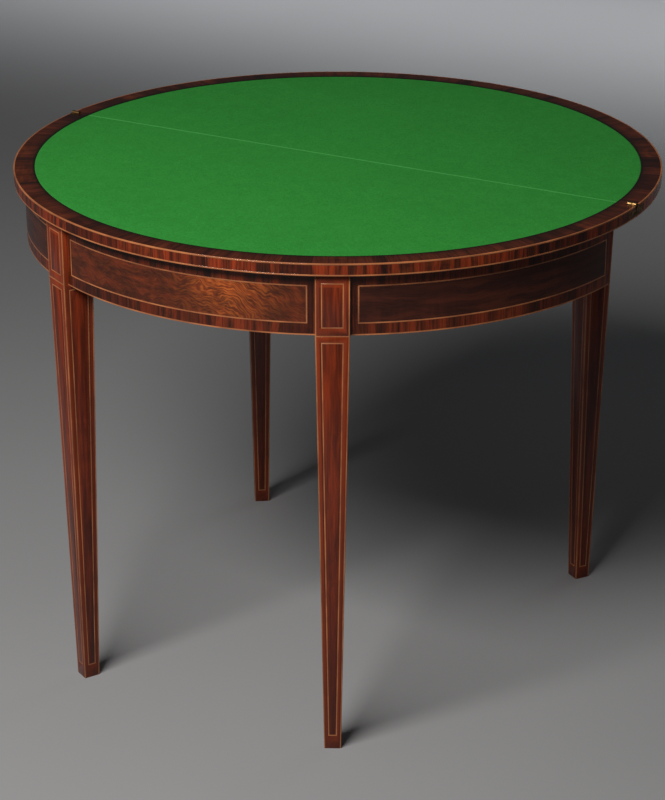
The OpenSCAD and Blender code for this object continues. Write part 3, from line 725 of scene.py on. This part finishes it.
# Brass leaf hinges, let into the rim at each end of the joint, with brass pins and
# screws. The metal is bright in some patches and brown in others.
brass, tree, shader, place = new_material("aged_brass")
tarnish = add(tree, "ShaderNodeTexNoise", {"Vector": place, "Scale": 210.0, "Detail": 5.0})
tarnish = add(tree, "ShaderNodeMapRange", {
    "Value": tarnish.outputs["Fac"], "From Min": 0.38, "From Max": 0.68,
})
metal = mixed(tree, tarnish.outputs["Result"], (0.34, 0.20, 0.075, 1), (0.075, 0.040, 0.020, 1))
tree.links.new(metal, shader.inputs["Base Color"])
metal_rough = add(tree, "ShaderNodeMapRange", {
    "Value": tarnish.outputs["Result"], "To Min": 0.34, "To Max": 0.62,
})
tree.links.new(metal_rough.outputs["Result"], shader.inputs["Roughness"])
shader.inputs["Metallic"].default_value = 1.0
ENDS = ("right", "left")
dress([f"{leaf}_hinge_{end}" for leaf in ("fixed", "flap") for end in ENDS], brass)
dress([f"hinge_pin_{end}" for end in ENDS], brass)

# Iron: the knuckle joints' pins and the screws that hold the top down.
iron, tree, shader, place = new_material("dull_iron")
rust = add(tree, "ShaderNodeTexNoise", {"Vector": place, "Scale": 320.0, "Detail": 5.0})
metal = mixed(tree, rust.outputs["Fac"], (0.16, 0.14, 0.13, 1), (0.07, 0.035, 0.02, 1))
tree.links.new(metal, shader.inputs["Base Color"])
metal_rough = add(tree, "ShaderNodeMapRange", {
    "Value": rust.outputs["Fac"], "To Min": 0.35, "To Max": 0.7,
})
tree.links.new(metal_rough.outputs["Result"], shader.inputs["Roughness"])
shader.inputs["Metallic"].default_value = 0.9
dress(("gate_pin_right", "gate_pin_left"), iron)

# Slotted wood screws: small brass ones through the hinge plates, iron ones up through
# the blocks into the top. Each has a turned head with one straight cut, and no two
# cuts line up.
screw_set = bpy.data.node_groups.new("slotted_screws", "GeometryNodeTree")
screw_inputs = {}
SCREW_SIZES = ("Head Radius", "Head Height", "Shank Radius", "Shank Length",
               "Slot Width", "Slot Depth")
screw_set.interface.new_socket("Geometry", in_out="INPUT", socket_type="NodeSocketGeometry")
for label in SCREW_SIZES:
    screw_inputs[label] = screw_set.interface.new_socket(
        label, in_out="INPUT", socket_type="NodeSocketFloat").identifier
for label, kind in (("Seed", "NodeSocketInt"), ("Material", "NodeSocketMaterial")):
    screw_inputs[label] = screw_set.interface.new_socket(
        label, in_out="INPUT", socket_type=kind).identifier
screw_set.interface.new_socket("Geometry", in_out="OUTPUT", socket_type="NodeSocketGeometry")
given = screw_set.nodes.new("NodeGroupInput").outputs
result = screw_set.nodes.new("NodeGroupOutput").inputs


def turned(radius, length, middle):
    """A cylinder along Z with its middle at the given height."""
    shape = add(screw_set, "GeometryNodeMeshCylinder", {
        "Vertices": 28, "Radius": radius, "Depth": length,
    })
    at = add(screw_set, "ShaderNodeCombineXYZ", {"Z": middle}).outputs[0]
    moved = add(screw_set, "GeometryNodeTransform", {
        "Geometry": shape.outputs["Mesh"], "Translation": at,
    })
    return moved.outputs[0]


head = turned(given["Head Radius"], given["Head Height"],
              maths(screw_set, "MULTIPLY", given["Head Height"], -0.5))
cutter_size = add(screw_set, "ShaderNodeCombineXYZ", {
    "X": maths(screw_set, "MULTIPLY", given["Head Radius"], 3.0), "Y": given["Slot Width"],
    "Z": maths(screw_set, "MULTIPLY", given["Slot Depth"], 2.0),
}).outputs[0]
cutter = add(screw_set, "GeometryNodeMeshCube", {"Size": cutter_size}).outputs["Mesh"]
cut_head = add(screw_set, "GeometryNodeMeshBoolean", {"Mesh 1": head, "Mesh 2": cutter},
               operation="DIFFERENCE").outputs["Mesh"]
shank_middle = maths(screw_set, "MULTIPLY", maths(screw_set, "ADD", given["Head Height"], maths(
    screw_set, "MULTIPLY", given["Shank Length"], 0.5)), -1.0)
shank = turned(given["Shank Radius"], given["Shank Length"], shank_middle)
screw = add(screw_set, "GeometryNodeJoinGeometry")
for piece in (cut_head, shank):
    screw_set.links.new(piece, screw.inputs[0])
towards = add(screw_set, "GeometryNodeInputNamedAttribute", {"Name": "axis"}, data_type="FLOAT_VECTOR")
aimed = add(screw_set, "FunctionNodeAlignRotationToVector", {
    "Vector": towards.outputs["Attribute"],
}, axis="Z")
turn = add(screw_set, "FunctionNodeRandomValue", {"Min": 0.3, "Max": 2.8, "Seed": given["Seed"]},
           data_type="FLOAT")
turn_by = add(screw_set, "ShaderNodeCombineXYZ", {"Z": turn.outputs["Value"]}).outputs[0]
spun = add(screw_set, "FunctionNodeRotateRotation", {
    "Rotation": aimed.outputs[0],
    "Rotate By": add(screw_set, "FunctionNodeEulerToRotation", {"Euler": turn_by}).outputs[0],
}, rotation_space="LOCAL")
placed = add(screw_set, "GeometryNodeInstanceOnPoints", {
    "Points": given["Geometry"], "Instance": screw.outputs[0], "Rotation": spun.outputs[0],
})
real = add(screw_set, "GeometryNodeRealizeInstances", {"Geometry": placed.outputs[0]})
finished = add(screw_set, "GeometryNodeSetMaterial", {
    "Geometry": real.outputs[0], "Material": given["Material"],
})
screw_set.links.new(finished.outputs[0], result[0])


def screw_heads(name):
    """Middle of each screw's head and the way it faces, from the CAD screws' own shapes."""
    work = bmesh.new()
    work.from_mesh(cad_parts[name].data)
    bmesh.ops.remove_doubles(work, verts=work.verts, dist=WELD)
    found, left = [], set(work.verts)
    while left:
        island, front = set(), [left.pop()]
        while front:
            vertex = front.pop()
            island.add(vertex)
            for edge in vertex.link_edges:
                other = edge.other_vert(vertex)
                if other in left:
                    left.remove(other)
                    front.append(other)
        low = Vector([min(v.co[i] for v in island) for i in range(3)])
        high = Vector([max(v.co[i] for v in island) for i in range(3)])
        middle = (low + high) / 2
        if name == "top_screws":
            found.append((Vector((middle.x, middle.y, low.z)), Vector((0, 0, -1))))
        else:
            tip = max(island, key=lambda v: v.co.to_2d().length).co
            far = [v.co for v in island if v.co.to_2d().length > tip.to_2d().length - 0.0015]
            outer = sum(far, Vector()) / len(far)
            axis = (outer - middle).normalized()
            found.append((middle + axis * max((v.co - middle).dot(axis) for v in island), axis))
    work.free()
    return found


def slotted(name, body, seed, values, material):
    """Slotted screws in place of one node's plain ones."""
    heads = screw_heads(name)
    points = bpy.data.meshes.new(name + "_points")
    points.from_pydata([spot for spot, _ in heads], [], [])
    axes = points.attributes.new("axis", "FLOAT_VECTOR", "POINT")
    for item, (_, axis) in zip(axes.data, heads):
        item.vector = axis
    piece = bpy.data.objects.new(name + "_slotted", points)
    bpy.context.scene.collection.objects.link(piece)
    modifier = piece.modifiers.new("screws", "NODES")
    modifier.node_group = screw_set
    for label, value in zip(SCREW_SIZES, values):
        modifier[screw_inputs[label]] = value
    modifier[screw_inputs["Seed"]] = seed
    modifier[screw_inputs["Material"]] = material
    frozen(piece)
    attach(piece, body)
    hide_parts(name)


# Each screw's values, in the order of SCREW_SIZES.
BRASS_SCREW = (0.0016, 0.0012, 0.0010, 0.0074, 0.00045, 0.0006)
IRON_SCREW = (0.0040, 0.0019, 0.0019, 0.0060, 0.0009, 0.0010)
for seed, (name, body) in enumerate((
    ("fixed_hinge_screws_right", "frame"), ("fixed_hinge_screws_left", "frame"),
    ("flap_hinge_screws_right", "flap"), ("flap_hinge_screws_left", "flap"),
)):
    slotted(name, body, seed, BRASS_SCREW, brass)
slotted("top_screws", "frame", 7, IRON_SCREW, iron)
